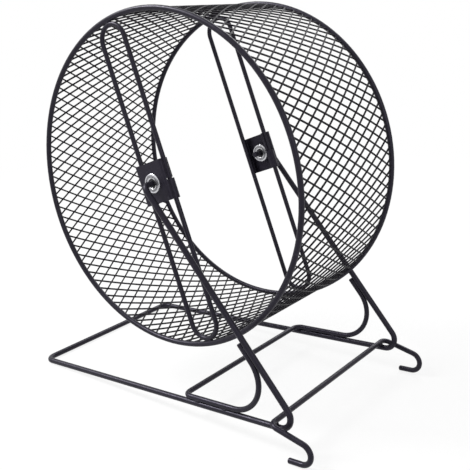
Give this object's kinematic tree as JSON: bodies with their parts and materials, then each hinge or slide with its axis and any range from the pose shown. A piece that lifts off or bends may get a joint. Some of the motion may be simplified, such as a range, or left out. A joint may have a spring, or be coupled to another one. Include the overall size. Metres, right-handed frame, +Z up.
{
  "type": "rodent exercise wheel",
  "caption": "Free-standing running wheel for small rodents: an expanded-metal drum between wire rims, turning on ball bearings in a bent-wire stand with open hooks at its front.",
  "frame": {"origin": "on the floor, under the middle of the whole object's box", "axes": "+Z up, +X from the rear bar towards the hooks, +Y from the near side to the far side, along the axle"},
  "size_m": [0.3122, 0.1862, 0.334],
  "materials": {
    "coated_wire": "satin black powder coat on steel wire, slightly blue, fine orange peel",
    "coated_sheet": "satin black powder coat on sheet steel",
    "bearing_ring": "ground and polished bearing steel",
    "bearing_shield": "pressed steel shield, lightly dulled",
    "bearing_ball": "polished",
    "bearing_cage": "pressed steel",
    "bush_plastic": "black nylon"
  },
  "bodies": {
    "stand": {"stand_frame_wire": "coated_wire", "brace_wire": "coated_wire", "hook_bar": "coated_wire", "near_axle_sleeve": "bush_plastic", "far_axle_sleeve": "bush_plastic", "near_bearing_inner_ring": "bearing_ring", "far_bearing_inner_ring": "bearing_ring"},
    "wheel": {"near_rim": "coated_wire", "far_rim": "coated_wire", "mesh_drum": "coated_sheet", "near_spoke_loop": "coated_wire", "far_spoke_loop": "coated_wire", "near_bearing_plate": "coated_sheet", "far_bearing_plate": "coated_sheet", "near_bearing_outer_ring": "bearing_ring", "far_bearing_outer_ring": "bearing_ring", "near_bearing_shields": "bearing_shield", "far_bearing_shields": "bearing_shield"},
    "near_ball_set": {"near_bearing_balls": "bearing_ball", "near_bearing_cage": "bearing_cage"},
    "far_ball_set": {"far_bearing_balls": "bearing_ball", "far_bearing_cage": "bearing_cage"}
  },
  "joints": [
    {"name": "wheel_spin", "type": "hinge", "parent": "stand", "child": "wheel", "pos_m": [-0.00336, 0, 0.19373], "axis": [0, 1, 0], "continuous": true},
    {"name": "near_ball_set_spin", "type": "hinge", "parent": "stand", "child": "near_ball_set", "pos_m": [-0.00336, -0.0739, 0.19373], "axis": [0, 1, 0], "continuous": true},
    {"name": "far_ball_set_spin", "type": "hinge", "parent": "stand", "child": "far_ball_set", "pos_m": [-0.00336, 0.0739, 0.19373], "axis": [0, 1, 0], "continuous": true}
  ],
  "couplings": [
    {"joint": "near_ball_set_spin", "follows": "wheel_spin", "ratio": 0.6},
    {"joint": "far_ball_set_spin", "follows": "wheel_spin", "ratio": 0.6}
  ]
}
